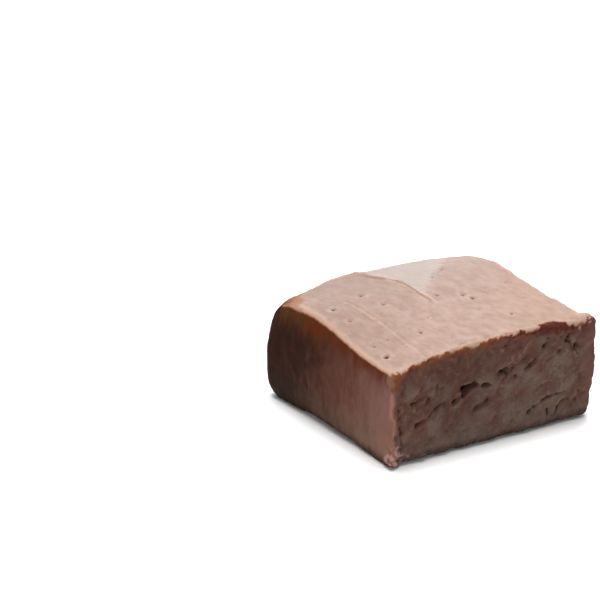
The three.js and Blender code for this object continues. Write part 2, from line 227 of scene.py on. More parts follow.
# A ray from well above, a little inside the side that a point is on, finds the height of the top there
RAY_START = 50 * MM
way = add(tree, "GeometryNodeInputNamedAttribute", ["facing"], **VECTOR)
towards = {axis: add(tree, "ShaderNodeSeparateXYZ", [way], out=axis) for axis in "XYZ"}
sideways = add(tree, "ShaderNodeVectorMath", [way, (1, 1, 0)], operation="MULTIPLY")
inset = add(tree, "ShaderNodeVectorMath", {"Vector": sideways, "Scale": given["Inset"]}, operation="SCALE")
inside = add(tree, "ShaderNodeVectorMath", [level, inset], operation="SUBTRACT")
above = add(tree, "ShaderNodeVectorMath", [inside, (0, 0, RAY_START)], operation="ADD")
hit = add(tree, "GeometryNodeRaycast",
          {"Target Geometry": seated, "Source Position": above, "Ray Direction": (0, 0, -1),
           "Ray Length": 2 * RAY_START}, out="Hit Position")
top = add(tree, "ShaderNodeSeparateXYZ", [hit], out="Z")
below = add(tree, "ShaderNodeMath", [top, height], operation="SUBTRACT")
below = add(tree, "ShaderNodeMath", [below], operation="ABSOLUTE")
below_in_mm = add(tree, "ShaderNodeMath", [below, 1 / MM], operation="MULTIPLY")
told = add(tree, "GeometryNodeStoreNamedAttribute", {"Geometry": told, "Name": "below", "Value": below_in_mm})

front = add(tree, "ShaderNodeMapRange", [towards["Y"], -0.35, -0.75], **EASED)
right = add(tree, "ShaderNodeMapRange", [towards["X"], 0.35, 0.75], **EASED)
left = add(tree, "ShaderNodeMapRange", [towards["X"], -0.35, -0.75], **EASED)
back = add(tree, "ShaderNodeMapRange", [towards["Y"], 0.35, 0.75], **EASED)
torn = add(tree, "ShaderNodeMath", [front, right], operation="MAXIMUM")
cut = add(tree, "ShaderNodeMath", [left, back], operation="MAXIMUM")
facing_torn = add(tree, "ShaderNodeMath", [towards["X"], towards["Y"]], operation="SUBTRACT")
which = add(tree, "ShaderNodeMapRange", [facing_torn, -0.3, 0.3], **EASED)

# The skin of the top ends along the rims in a line that wanders, most of all above the tears. It ends
# higher at the back left tip, and is chipped above both ends of the front and right of its middle.
wave = add(tree, "ShaderNodeMapRange",
           [which, 0.0, 1.0, given["Rim wave of cuts"], given["Rim wave of tears"]])
wander = add(tree, "ShaderNodeTexNoise",
             {"Vector": position, "Scale": given["Rim waves per metre"], "Detail": 3.0, "Roughness": 0.6})
wander = add(tree, "ShaderNodeMapRange", {"Value": wander, "To Min": -2.0, "To Max": 2.0}, clamp=False)
near_rim = add(tree, "ShaderNodeMapRange", [towards["Z"], 0.97, 0.85], **EASED)
wave = add(tree, "ShaderNodeMath", [wave, near_rim], operation="MULTIPLY")
strayed = add(tree, "ShaderNodeMath", [wander, wave, towards["Z"]], operation="MULTIPLY_ADD")
from_tip = add(tree, "ShaderNodeVectorMath", [position, BACK_LEFT_TIP], out="Value", operation="DISTANCE")
near_tip = add(tree, "ShaderNodeMapRange", [from_tip, 6.0 * MM, 2.0 * MM, 0.0, 0.20], **EASED)
strayed = add(tree, "ShaderNodeMath", [strayed, near_tip], operation="SUBTRACT")
for chip, reach in CHIPS:
    from_chip = add(tree, "ShaderNodeVectorMath", [position, Vector(chip) * MM], operation="SUBTRACT")
    from_chip = add(tree, "ShaderNodeVectorMath", [from_chip, (0.6, 1.0, 0.5)], operation="MULTIPLY")
    from_chip = add(tree, "ShaderNodeVectorMath", [from_chip], out="Value", operation="LENGTH")
    from_chip = add(tree, "ShaderNodeMath", [wander, 0.7 * MM, from_chip], operation="MULTIPLY_ADD")
    chipped = add(tree, "ShaderNodeMapRange", [from_chip, reach * MM, 0.55 * reach * MM, 0.0, 0.55], **EASED)
    strayed = add(tree, "ShaderNodeMath", [strayed, chipped], operation="SUBTRACT")
skin = add(tree, "ShaderNodeMapRange", [strayed, 0.42, 0.68], **EASED)
near_top = add(tree, "ShaderNodeMapRange", [below_in_mm, 3.0, 2.0], **EASED)
skin = add(tree, "ShaderNodeMath", [skin, near_top], operation="MULTIPLY")
for name, share in {"torn": torn, "cut": cut, "skin": skin, "brink": strayed}.items():
    told = add(tree, "GeometryNodeStoreNamedAttribute", {"Geometry": told, "Name": name, "Value": share})

# The bottom edge is drawn up, less under the ends of the left face and the whole of the back, which
# leaves a dark line along the table
wide = add(tree, "GeometryNodeBlurAttribute", [normal, given["Foot spread"]], **VECTOR)
wide = add(tree, "ShaderNodeVectorMath", [wide, (1, 1, 0)], operation="MULTIPLY")
sidewise = add(tree, "ShaderNodeVectorMath", [wide], operation="LENGTH", out="Value")
at_edge = add(tree, "ShaderNodeMapRange", [sidewise, 0.02, 0.42])
lower = add(tree, "ShaderNodeMapRange", [height, given["Foot height"], 0.0])
from_middle = add(tree, "ShaderNodeSeparateXYZ", [position], out="Y")
from_middle = add(tree, "ShaderNodeMath", [from_middle], operation="ABSOLUTE")
cut_lift = add(tree, "ShaderNodeMapRange",
               [from_middle, 15 * MM, 2 * MM, 0.2 * MM, given["Foot lift of cuts"]], **EASED)
lift = add(tree, "ShaderNodeMapRange", [which, 0.0, 1.0, cut_lift, given["Foot lift"]])
raised = add(tree, "ShaderNodeMath", [at_edge, lower], operation="MULTIPLY")
raised = add(tree, "ShaderNodeMath", [raised, lift], operation="MULTIPLY")
upward = add(tree, "ShaderNodeCombineXYZ", {"Z": raised})
footed = add(tree, "GeometryNodeSetPosition", {"Geometry": told, "Offset": upward})

# The top corner at the right of the front stands square, so it is pushed out a little
from_corner = add(tree, "ShaderNodeVectorMath", [position, TOP_RIGHT_CORNER], out="Value",
                  operation="DISTANCE")
pushed = add(tree, "ShaderNodeMapRange", [from_corner, given["Corner reach"], 0.4 * MM], **EASED)
pushed = add(tree, "ShaderNodeMath", [pushed, given["Corner push"]], operation="MULTIPLY")
pushed = add(tree, "ShaderNodeVectorMath", {"Vector": (0.85, -0.2, 0.48), "Scale": pushed}, operation="SCALE")
squared = add(tree, "GeometryNodeSetPosition", {"Geometry": footed, "Offset": pushed})
use_tree(fudge, tree, squared, fudge_material, FACINGS)


def read_points(tree):
    """What the relief trees read: the place in millimetres, the stored facing and the stored shares"""
    position = add(tree, "GeometryNodeInputPosition")
    in_mm = add(tree, "ShaderNodeVectorMath", {"Vector": position, "Scale": 1 / MM}, operation="SCALE")
    way = add(tree, "GeometryNodeInputNamedAttribute", ["facing"], **VECTOR)
    stored = {name: add(tree, "GeometryNodeInputNamedAttribute", [name])
              for name in ("torn", "cut", "skin", "below")}
    return in_mm, way, stored


def side_grid(tree, place):
    """A point's place along, up and through the side faces. X plus Y runs along every one of them."""
    along = add(tree, "ShaderNodeMath", [place["X"], place["Y"]], operation="ADD")
    through = add(tree, "ShaderNodeMath", [place["X"], place["Y"]], operation="SUBTRACT")
    return add(tree, "ShaderNodeCombineXYZ", [along, place["Z"], through])


def noise_offset(tree, place, density, reach):
    """A small offset in millimetres that frays what is drawn with it"""
    noise = add(tree, "ShaderNodeTexNoise", {"Vector": place, "Scale": density, "Detail": 2.0}, out="Color")
    centred = add(tree, "ShaderNodeVectorMath", [noise, (0.5, 0.5, 0.5)], operation="SUBTRACT")
    return add(tree, "ShaderNodeVectorMath", {"Vector": centred, "Scale": reach}, operation="SCALE")


def noise_layer(tree, place, size, height, detail=2.0, roughness=0.5):
    """A height in millimetres that swings evenly both ways, with its bumps as long and wide as size"""
    scaled = add(tree, "ShaderNodeVectorMath", [place, size], operation="DIVIDE")
    noise = add(tree, "ShaderNodeTexNoise",
                {"Vector": scaled, "Scale": 1, "Detail": detail, "Roughness": roughness})
    around = add(tree, "ShaderNodeMapRange", {"Value": noise, "To Min": -1.0, "To Max": 1.0}, clamp=False)
    return add(tree, "ShaderNodeMath", [around, height], operation="MULTIPLY")


def added_up(tree, heights):
    """The sum of some heights"""
    total = heights[0]
    for height in heights[1:]:
        total = add(tree, "ShaderNodeMath", [total, height], operation="ADD")
    return total


def move_out(tree, geometry, way, heights, share):
    """Moves the points out along the way they face by a share of the sum of some heights in millimetres"""
    lift = add(tree, "ShaderNodeMath", [added_up(tree, heights), share], operation="MULTIPLY")
    offset = add(tree, "ShaderNodeVectorMath", {"Vector": way, "Scale": lift}, operation="SCALE")
    in_metres = add(tree, "ShaderNodeVectorMath", {"Vector": offset, "Scale": MM}, operation="SCALE")
    return add(tree, "GeometryNodeSetPosition", {"Geometry": geometry, "Offset": in_metres})


def mark_heights(tree, place, rows):
    """Heights in millimetres of curved ridges and grooves drawn on a face that lies in X and Y.
    A row gives the start, the middle and the end of one, how high it stands and its half width."""
    heights = []
    for start, middle, end, rise, width in rows:
        line = add(tree, "GeometryNodeCurveQuadraticBezier",
                   {"Resolution": 24, "Start": (*start, 0), "Middle": (*middle, 0), "End": (*end, 0)})
        wire = add(tree, "GeometryNodeCurveToMesh", [line])
        distance = add(tree, "GeometryNodeProximity", {"Geometry": wire, "Sample Position": place},
                       out="Distance", target_element="EDGES")
        on_mark = add(tree, "ShaderNodeMapRange", [distance, width, 0.0], **EASED)
        heights.append(add(tree, "ShaderNodeMath", [on_mark, rise], operation="MULTIPLY"))
    return heights


# The torn faces: soft slanting lumps over a fine grain, breaking into crumbs and hollows in patches.
# The dense skin of the top ends in a ragged ledge above them, and they swell a little at the foot.
TORN = {
    "Slant": radians(36),
    "Lump length": 4.2, "Lump width": 1.9, "Lump height": 0.50,
    "Crumble length": 1.9, "Crumble width": 1.0, "Crumble height": 0.25,
    "Hollow length": 2.8, "Hollow width": 1.2, "Hollow depth": 0.50,
    "Grain size": 0.9, "Grain height": 0.03,
    "Patches per millimetre": 0.16,
    "Frays per millimetre": 0.9, "Fray reach": 1.6,
    "Ledge height": 0.9, "Ledge depth": 0.12, "Ledge wave": 1.3,
    "Foot height": 4.0, "Foot swell": 0.55,
}
# The deepest cracks of the front, in millimetres right and up, then the ridge the knife pushed out of
# its left edge and the groove that broke open beside it
FRONT_MARKS = [
    ((-16.4, 7.2), (-13.6, 7.9), (-10.9, 10.2), -0.40, 0.6),
    ((-8.2, 9.9), (-6.0, 10.9), (-3.8, 12.8), -0.50, 1.0),
    ((0.6, 13.2), (2.2, 13.6), (4.2, 14.4), -0.25, 0.6),
    ((-4.4, 6.9), (-2.6, 7.4), (-0.8, 8.3), -0.24, 0.8),
    ((-17.2, 11.4), (-15.2, 12.3), (-13.4, 12.1), -0.35, 0.5),
    ((8.4, 3.6), (12.0, 6.9), (16.6, 6.2), -0.40, 0.6),
    ((12.8, 1.6), (13.2, 2.5), (13.0, 3.4), -0.45, 0.5),
    ((14.6, 2.2), (15.2, 2.8), (15.3, 3.6), -0.38, 0.6),
    ((11.0, 8.8), (12.6, 9.4), (13.6, 10.8), -0.28, 0.6),
    ((16.2, 16.3), (18.0, 15.4), (19.2, 13.4), -0.45, 0.6),
    ((-21.4, 16.0), (-21.2, 9.0), (-21.4, 0.8), 0.25, 0.6),
    ((-20.0, 10.8), (-19.4, 7.8), (-19.3, 4.4), -0.42, 0.95),
]
tree, given = new_tree("Torn faces", TORN)
in_mm, way, stored = read_points(tree)
place = {axis: add(tree, "ShaderNodeSeparateXYZ", [in_mm], out=axis) for axis in "XYZ"}

# Both torn faces share one slanted grid, which a fine noise frays
upright = side_grid(tree, place)
leaning = add(tree, "ShaderNodeMath", [given["Slant"], -1], operation="MULTIPLY")
slanted = add(tree, "ShaderNodeVectorRotate", {"Vector": upright, "Angle": leaning}, rotation_type="Z_AXIS")
fray = noise_offset(tree, in_mm, given["Frays per millimetre"], given["Fray reach"])
slanted = add(tree, "ShaderNodeVectorMath", [slanted, fray], operation="ADD")
lump_size = add(tree, "ShaderNodeCombineXYZ", [given["Lump length"], given["Lump width"], 12])
grain_size = add(tree, "ShaderNodeCombineXYZ", [given["Grain size"]] * 3)
heights = [
    noise_layer(tree, slanted, lump_size, given["Lump height"], 1.5, 0.5),
    noise_layer(tree, in_mm, grain_size, given["Grain height"], 2.0, 0.6),
]

# Patches of crumbs and hollows, mostly above the middle and towards the right
patches = add(tree, "ShaderNodeTexNoise",
              {"Vector": in_mm, "Scale": given["Patches per millimetre"], "Detail": 1.0})
higher = add(tree, "ShaderNodeMapRange", [stored["below"], 13.0, 6.0, -0.16, 0.04])
rightward = add(tree, "ShaderNodeSeparateXYZ", [upright], out="X")
rightward = add(tree, "ShaderNodeMapRange", [rightward, -40.0, 0.0, -0.14, 0.13])
patchy = add(tree, "ShaderNodeMath", [patches, higher], operation="ADD")
patchy = add(tree, "ShaderNodeMath", [patchy, rightward], operation="ADD")
crumbly = add(tree, "ShaderNodeMapRange", [patchy, 0.40, 0.56], **EASED)
crumble_size = add(tree, "ShaderNodeCombineXYZ", [given["Crumble length"], given["Crumble width"], 12])
crumble = noise_layer(tree, slanted, crumble_size, given["Crumble height"], 1.5, 0.55)
heights.append(add(tree, "ShaderNodeMath", [crumble, crumbly], operation="MULTIPLY"))
hollow_size = add(tree, "ShaderNodeCombineXYZ", [given["Hollow length"], given["Hollow width"], 12])
hollow_place = add(tree, "ShaderNodeVectorMath", [slanted, hollow_size], operation="DIVIDE")
dents = add(tree, "ShaderNodeTexNoise", {"Vector": hollow_place, "Scale": 1, "Detail": 2.0, "Roughness": 0.6})
hollow = add(tree, "ShaderNodeMapRange", [dents, 0.60, 0.76], **EASED)
hollow = add(tree, "ShaderNodeMath", [hollow, crumbly], operation="MULTIPLY")
deep = add(tree, "ShaderNodeMath", [hollow, given["Hollow depth"]], operation="MULTIPLY")
heights.append(add(tree, "ShaderNodeMath", [deep, -1], operation="MULTIPLY"))

# The ledge: the skin stands out above, and the crumb falls back just below it
ledge_wave = add(tree, "ShaderNodeCombineXYZ", [given["Ledge wave"]] * 3)
ragged = noise_layer(tree, in_mm, ledge_wave, 0.9, 3.0, 0.6)
ragged_below = add(tree, "ShaderNodeMath", [stored["below"], ragged], operation="ADD")
under_ledge = add(tree, "ShaderNodeMath", [ragged_below, given["Ledge height"]], operation="DIVIDE")
skin_edge = add(tree, "ShaderNodeMapRange", [under_ledge, 1.25, 0.85], **EASED)
fallen = add(tree, "ShaderNodeMapRange", [under_ledge, 3.5, 1.2], **EASED)
ledge = add(tree, "ShaderNodeMath", [skin_edge, 1.6, -0.6], operation="MULTIPLY_ADD")
ledge = add(tree, "ShaderNodeMath", [ledge, fallen], operation="MULTIPLY")
heights.append(add(tree, "ShaderNodeMath", [ledge, given["Ledge depth"]], operation="MULTIPLY"))

on_front = add(tree, "ShaderNodeCombineXYZ", [place["X"], place["Z"]])
frayed = add(tree, "ShaderNodeVectorMath", [fray, (0.9, 0.9, 0)], operation="MULTIPLY")
frayed = add(tree, "ShaderNodeVectorMath", [on_front, frayed], operation="ADD")
heights += mark_heights(tree, frayed, FRONT_MARKS)

# All of it is quieter just above the table, where the foot swells, and calmer on the right face
quieter = add(tree, "ShaderNodeMapRange", [place["Z"], 0.8, 3.2, 0.25, 1.0], **EASED)
swollen = add(tree, "ShaderNodeMapRange", [place["Z"], given["Foot height"], 0.8], **EASED)
heights = [
    add(tree, "ShaderNodeMath", [added_up(tree, heights), quieter], operation="MULTIPLY"),
    add(tree, "ShaderNodeMath", [swollen, given["Foot swell"]], operation="MULTIPLY"),
]
rightwards = add(tree, "ShaderNodeSeparateXYZ", [way], out="X")
calmer = add(tree, "ShaderNodeMapRange", [rightwards, 0.2, 0.7, 1.0, 0.6])
share = add(tree, "ShaderNodeMath", [stored["torn"], calmer], operation="MULTIPLY")
use_tree(fudge, tree, move_out(tree, given["Geometry"], way, heights, share), fudge_material, TORN)

# The knife cuts: fudge dragged down by the blade in broad uneven streaks, over slow waves. Their foot
# stands a little proud at the far end, where the slab has settled, and the shoulder above it is fuller.
CUT = {
    "Streak width": 1.8, "Streak height": 0.03,
    "Drag width": 3.4, "Drag height": 0.14,
    "Wave length": 3.2, "Wave height": 0.15,
    "Foot height": 7.0, "Foot swell": 0.5,
    "Shoulder swell": 0.35,
}
BACK_LEFT_SHOULDER = (-21.8, 18.5, 17.2)
# Small dents in the left face, in millimetres back and up
LEFT_MARKS = [
    ((6.4, 6.4), (6.6, 7.1), (6.4, 7.9), -0.24, 0.80),
    ((-12.9, 4.7), (-12.7, 5.2), (-13.0, 5.8), -0.22, 0.95),
    ((0.9, 4.3), (0.8, 4.9), (0.9, 5.5), -0.20, 0.70),
]
tree, given = new_tree("Knife cuts", CUT)
in_mm, way, stored = read_points(tree)
place = {axis: add(tree, "ShaderNodeSeparateXYZ", [in_mm], out=axis) for axis in "XYZ"}
upright = side_grid(tree, place)
streak_size = add(tree, "ShaderNodeCombineXYZ", [given["Streak width"], 9.0, 12.0])
drag_size = add(tree, "ShaderNodeCombineXYZ", [given["Drag width"], 16.0, 12.0])
wave_size = add(tree, "ShaderNodeCombineXYZ", [given["Wave length"]] * 3)
swollen = add(tree, "ShaderNodeMapRange", [place["Z"], given["Foot height"], 1.5], **EASED)
far_end = add(tree, "ShaderNodeMapRange", [place["Y"], 6.0, 15.0], **EASED)
swollen = add(tree, "ShaderNodeMath", [swollen, far_end], operation="MULTIPLY")
shoulder = add(tree, "ShaderNodeVectorMath", [in_mm, BACK_LEFT_SHOULDER], out="Value", operation="DISTANCE")
shoulder = add(tree, "ShaderNodeMapRange", [shoulder, 6.5, 0.5], **EASED)
heights = [
    add(tree, "ShaderNodeMath", [shoulder, given["Shoulder swell"]], operation="MULTIPLY"),
    noise_layer(tree, upright, streak_size, given["Streak height"]),
    noise_layer(tree, upright, drag_size, given["Drag height"], 1.0),
    noise_layer(tree, in_mm, wave_size, given["Wave height"], 2.0),
    add(tree, "ShaderNodeMath", [swollen, given["Foot swell"]], operation="MULTIPLY"),
]
on_left = add(tree, "ShaderNodeCombineXYZ", [place["Y"], place["Z"]])
heights += mark_heights(tree, on_left, LEFT_MARKS)
use_tree(fudge, tree, move_out(tree, given["Geometry"], way, heights, stored["cut"]), fudge_material, CUT)

# The top: the slab's dry skin, smoothed by a spatula in long strokes that ran along Y
SKIN = {
    "Stroke width": 1.0, "Stroke height": 0.02,
    "Pimple size": 1.2, "Pimple length": 1.9, "Pimple height": 0.10,
    "Swell length": 4.5, "Swell height": 0.09,
    "Frays per millimetre": 1.3, "Fray reach": 0.9,
}
# Three scratches, the two sides of the scoop's lip, a nick in the scoop and a bump on the right rim, in
# millimetres right and back
TOP_MARKS = [
    ((-14.6, 7.5), (-12.0, -5.0), (-13.5, -18.6), -0.11, 0.40),
    ((-15.2, 7.5), (-12.6, -5.0), (-14.1, -18.6), 0.05, 0.65),
    ((-12.0, -9.0), (-11.3, -13.5), (-11.8, -18.6), -0.08, 0.30),
    ((-4.6, 18.4), (-0.2, 9.5), (-1.1, -2.0), -0.14, 0.55),
    ((-3.8, 18.4), (0.6, 9.5), (-0.3, -2.0), 0.14, 0.50),
    ((6.0, 9.1), (7.8, 10.4), (9.9, 11.3), -0.22, 1.15),
    ((20.9, 6.8), (21.0, 5.4), (20.9, 4.0), 0.22, 0.45),
]
# Air pits that burst as it set: right, back, depth and half width in millimetres
TOP_PITS = [
    (-18.5, -13.4, 0.45, 0.50), (-18.2, -9.1, 0.12, 0.75), (-15.3, -8.8, 0.12, 0.40),
    (-9.3, -10.2, 0.28, 0.42), (-18.0, 5.2, 0.26, 0.42), (-17.6, -0.1, 0.14, 0.50),
    (-10.4, 7.7, 0.20, 0.75), (-8.9, 2.4, 0.18, 0.65), (-14.0, -2.7, 0.10, 0.40),
    (-12.0, -1.9, 0.10, 0.40), (-4.6, -6.5, 0.10, 0.90), (1.8, 1.0, 0.22, 0.52),
    (6.4, -0.9, 0.21, 0.62), (7.3, -2.8, 0.22, 0.68), (11.6, -0.3, 0.12, 0.50),
    (9.3, -12.1, 0.18, 0.40), (10.4, -14.2, 0.12, 0.45), (16.2, -6.8, 0.12, 0.45),
]
# Pits of the solid that are filled, because they hardly show: their depths are below zero
FILLED_PITS = [
    (-14.1, -12.4, -0.48, 0.48), (-6.8, -10.5, -0.36, 0.42), (-6.3, -15.35, -0.38, 0.42),
    (17.0, 1.4, -0.45, 0.48), (-4.91, -6.72, -0.42, 0.42),
]
# The back left corner, which sank as it set, and, lifted, a pimple by the left rim and the front right
# corner
SHIFTED = [(-18.5, 17.5, 0.60, 5.5), (-17.6, -14.2, -0.12, 0.35), (20.8, -18.0, -0.45, 2.0)]
tree, given = new_tree("Smoothed top", SKIN)
in_mm, way, stored = read_points(tree)
stroke_size = add(tree, "ShaderNodeCombineXYZ", [given["Stroke width"], 24.0, 12.0])
pimple_size = add(tree, "ShaderNodeCombineXYZ", [given["Pimple size"], given["Pimple length"], 3.0])
swell_size = add(tree, "ShaderNodeCombineXYZ", [given["Swell length"]] * 3)
heights = [
    noise_layer(tree, in_mm, stroke_size, given["Stroke height"]),
    noise_layer(tree, in_mm, pimple_size, given["Pimple height"], 2.0, 0.6),
    noise_layer(tree, in_mm, swell_size, given["Swell height"], 1.0),
]
fray = noise_offset(tree, in_mm, given["Frays per millimetre"], given["Fray reach"])
frayed = add(tree, "ShaderNodeVectorMath", [in_mm, fray], operation="ADD")
from_above = add(tree, "ShaderNodeVectorMath", [frayed, (1, 1, 0)], operation="MULTIPLY")
heights += mark_heights(tree, from_above, TOP_MARKS)
for x, y, depth, width in TOP_PITS + FILLED_PITS + SHIFTED:
    away = add(tree, "ShaderNodeVectorMath", [from_above, (x, y, 0)], out="Value", operation="DISTANCE")
    heights.append(add(tree, "ShaderNodeMapRange", [away, 1.5 * width, 0.2 * width, 0.0, -depth], **EASED))
use_tree(fudge, tree, move_out(tree, given["Geometry"], way, heights, stored["skin"]), fudge_material, SKIN)

# How far each point lies below what is around it, for the painted shade of the hollows and the painted
# highlights of the crests
DEPTHS = {"Hollow spread": 16}
tree, given = new_tree("Depths", DEPTHS)
position = add(tree, "GeometryNodeInputPosition")
normal = add(tree, "GeometryNodeInputNormal")
nearby = add(tree, "GeometryNodeBlurAttribute", [position, given["Hollow spread"]], **VECTOR)
under = add(tree, "ShaderNodeVectorMath", [nearby, position], operation="SUBTRACT")
way = add(tree, "GeometryNodeInputNamedAttribute", ["facing"], **VECTOR)
depth = add(tree, "ShaderNodeVectorMath", [under, way], out="Value", operation="DOT_PRODUCT")
depth = add(tree, "ShaderNodeMath", [depth, 1 / MM], operation="MULTIPLY")
told = add(tree, "GeometryNodeStoreNamedAttribute",
           {"Geometry": given["Geometry"], "Name": "hollow", "Value": depth})
use_tree(fudge, tree, told, fudge_material, DEPTHS)

# The finished skin as a plain mesh, with its level underside in one face
plain = bpy.data.meshes.new_from_object(fudge.evaluated_get(bpy.context.evaluated_depsgraph_get()))
plain.name = "fudge"
fudge.modifiers.clear()
fudge.data = plain
shell = bmesh.new()
shell.from_mesh(plain)
for vert in shell.verts:
    vert.co.z = max(vert.co.z, 0)
flat = [face for face in shell.faces if max(vert.co.z for vert in face.verts) < 0.001 * MM]
bmesh.ops.dissolve_faces(shell, faces=flat, use_verts=True)
shell.to_mesh(plain)
shell.free()
plain.shade_smooth()


# Fudge: a dense, slightly oily paste of fine sugar crystals. It is dull greyish brown where it is torn,
# darker where the knife smeared it and pale on the dried top, with painted shade in its hollows and a
# painted satin sheen and highlights. Light goes a little way into it, so its thin rims are a warmer brown.
def linear(code, alpha=1.0):
    """A hex colour as linear light"""
    parts = [int(code[i:i + 2], 16) / 255 for i in (1, 3, 5)]
    return (*[c / 12.92 if c <= 0.04045 else ((c + 0.055) / 1.055) ** 2.4 for c in parts], alpha)


TORN_GREY, TORN_RED, TORN_EDGE_HIGHLIGHT = linear("#68574e"), linear("#5b4038"), linear("#664840")
TORN_DARK_AND_SHADE, TORN_CREST_HIGHLIGHT, TORN_FLECK = linear("#29130c"), linear("#756056"), linear("#8d7468")
RIM_RUST, RIM_RED, CRUMB_GLINT_PINK = linear("#75432c"), linear("#50241b"), linear("#b8918a")
BURR_PINK, BURR_PALE = linear("#a4665e"), linear("#8a6452")
CUT_NEAR, CUT_MID, CUT_FAR = linear("#785850"), linear("#5c392f"), linear("#301810")
CUT_RUST, CUT_AMBER = linear("#582611"), linear("#4e3018")
FOOT_NEAR, FOOT_FAR, SHADE_DARK = linear("#74594c"), linear("#2c2018"), linear("#2a1a13")
SKIN_PALE, SKIN_BROWN, SKIN_WARM_HIGHLIGHT = linear("#a58e83"), linear("#967e72"), linear("#b3886b")
SKIN_SHADE, SKIN_BLOOM_SHEEN, PIT_DARK = linear("#7d6354"), linear("#a79f99"), linear("#4a2a1c")
SKIN_LEFT_HIGHLIGHT, SKIN_TIP, SKIN_HIGHLIGHT = linear("#b0907f"), linear("#8c6250"), linear("#b8a094")
SKIN_ASH, SKIN_HONEY = linear("#8f8078"), linear("#9c7c68")

# How wide the spots of each pattern are, in millimetres. Those that the knife and the spatula drew out
# have a width for each axis. The sugar grain is drawn coarser than it is, so that it shows.
PATCH, BLUSH, RAG, FLECK, CRUMBLE, GRAIN = 4.167, 1.429, 1.111, 1.053, 0.909, 0.4167
STREAK, SMEAR, WIPE = (2.381, 2.381, 6.667), (1.429, 1.429, 2.381), (1.786, 2.778, 2.5)
# The places that some colours gather round, in millimetres
GATHERED = {
    "dark middle": (-7.0, -20.0, 12.0),
    "near top corner": (-20.8, -20.0, 16.8),
    "golden foot": (-21.8, -18.8, 3.4),
    "pink crumbs": (-20.8, -20.4, 1.5),
    "back left tip": (-21.5, 15.5, 18.5),
}


def painted(tree, ground, layers):
    """A ground colour with others laid over it in turn, each by its own share"""
    for share, colour in layers:
        ground = add(tree, "ShaderNodeMix", {"Factor": share, "A": ground, "B": colour}, data_type="RGBA")
    return ground


fudge_material.use_nodes = True
tree = fudge_material.node_tree
tree.nodes.clear()
coordinates = add(tree, "ShaderNodeTexCoord", out="Object")
in_mm = add(tree, "ShaderNodeVectorMath", {"Vector": coordinates, "Scale": 1 / MM}, operation="SCALE")
place = {axis: add(tree, "ShaderNodeSeparateXYZ", [in_mm], out=axis) for axis in "XYZ"}
way = add(tree, "ShaderNodeAttribute", attribute_name="facing", out="Vector")
towards = {axis: add(tree, "ShaderNodeSeparateXYZ", [way], out=axis) for axis in "XY"}
mask = {name: add(tree, "ShaderNodeAttribute", attribute_name=name, out="Fac")
        for name in ("torn", "cut", "skin", "brink", "hollow", "below")}
away = {name: add(tree, "ShaderNodeVectorMath", [in_mm, point], out="Value", operation="DISTANCE")
        for name, point in GATHERED.items()}

# Torn: greyish and reddish patches, painted highlights on the crests, painted shade in the hollows, and rust
# under the ragged rim
patches = add(tree, "ShaderNodeTexNoise", {"Vector": in_mm, "Scale": 1 / PATCH, "Detail": 2.0})
patches = add(tree, "ShaderNodeMath", [place["X"], -0.002, patches], operation="MULTIPLY_ADD")
patches = add(tree, "ShaderNodeMath", [place["Z"], 0.014, patches], operation="MULTIPLY_ADD")
reddish = add(tree, "ShaderNodeMapRange", [patches, 0.42, 0.80], **EASED)
# Painted highlight on the crests
torn_crest_highlight = add(tree, "ShaderNodeMapRange", [mask["hollow"], -0.02, -0.24, 0.0, 0.5], **EASED)
flecks = add(tree, "ShaderNodeTexNoise",
             {"Vector": in_mm, "Scale": 1 / FLECK, "Detail": 2.5, "Roughness": 0.6})
pale = add(tree, "ShaderNodeMapRange", [flecks, 0.54, 0.72, 0.0, 0.22], **EASED)
dark = add(tree, "ShaderNodeMapRange", [flecks, 0.46, 0.30, 0.0, 0.22], **EASED)
# Painted shade in the hollows
hollow = add(tree, "ShaderNodeMapRange", [mask["hollow"], 0.03, 0.34, 0.0, 0.88], **EASED)
middle = add(tree, "ShaderNodeMapRange", [away["dark middle"], 12.0, 4.0, 0.0, 0.18], **EASED)
ragged = add(tree, "ShaderNodeTexNoise",
             {"Vector": in_mm, "Scale": 1 / RAG, "Detail": 3.0, "Roughness": 0.6})
under_rim = add(tree, "ShaderNodeMath", [ragged, 2.4, mask["below"]], operation="MULTIPLY_ADD")
thinner = add(tree, "ShaderNodeMapRange", [place["X"], -6.0, -14.0, 0.0, 0.35], **EASED)
under_rim = add(tree, "ShaderNodeMath", [under_rim, thinner], operation="ADD")
rim = add(tree, "ShaderNodeMapRange", [under_rim, 3.7, 1.9, 0.0, 0.9], **EASED)
blush = add(tree, "ShaderNodeTexNoise", {"Vector": in_mm, "Scale": 1 / BLUSH, "Detail": 2.0})
rightward = add(tree, "ShaderNodeMapRange", [place["X"], 6.0, 12.0, -0.02, 0.18], **EASED)
blush = add(tree, "ShaderNodeMath", [blush, rightward], operation="ADD")
blush = add(tree, "ShaderNodeMapRange", [blush, 0.47, 0.64], **EASED)
rim_colour = painted(tree, RIM_RUST, [(blush, RIM_RED)])

# The upright edges of the front are ruddy, the right one as a painted highlight where its rounded edge
# catches light. The left one, which the knife drew out, is pale at its foot, pink above, partly a painted
# highlight along its ridge, and rusty at the top, with a dark red groove beside it that painted shade darkens
# where it is hollow.
frayed_x = add(tree, "ShaderNodeMath", [ragged, 1.4, place["X"]], operation="MULTIPLY_ADD")
# Painted highlight on the rounded right edge
right_edge_highlight = add(tree, "ShaderNodeMapRange", [frayed_x, 20.2, 22.9, 0.0, 0.7], **EASED)
near_front = add(tree, "ShaderNodeMapRange", [place["Y"], -15.0, -18.5], **EASED)
right_edge_highlight = add(tree, "ShaderNodeMath", [right_edge_highlight, near_front], operation="MULTIPLY")
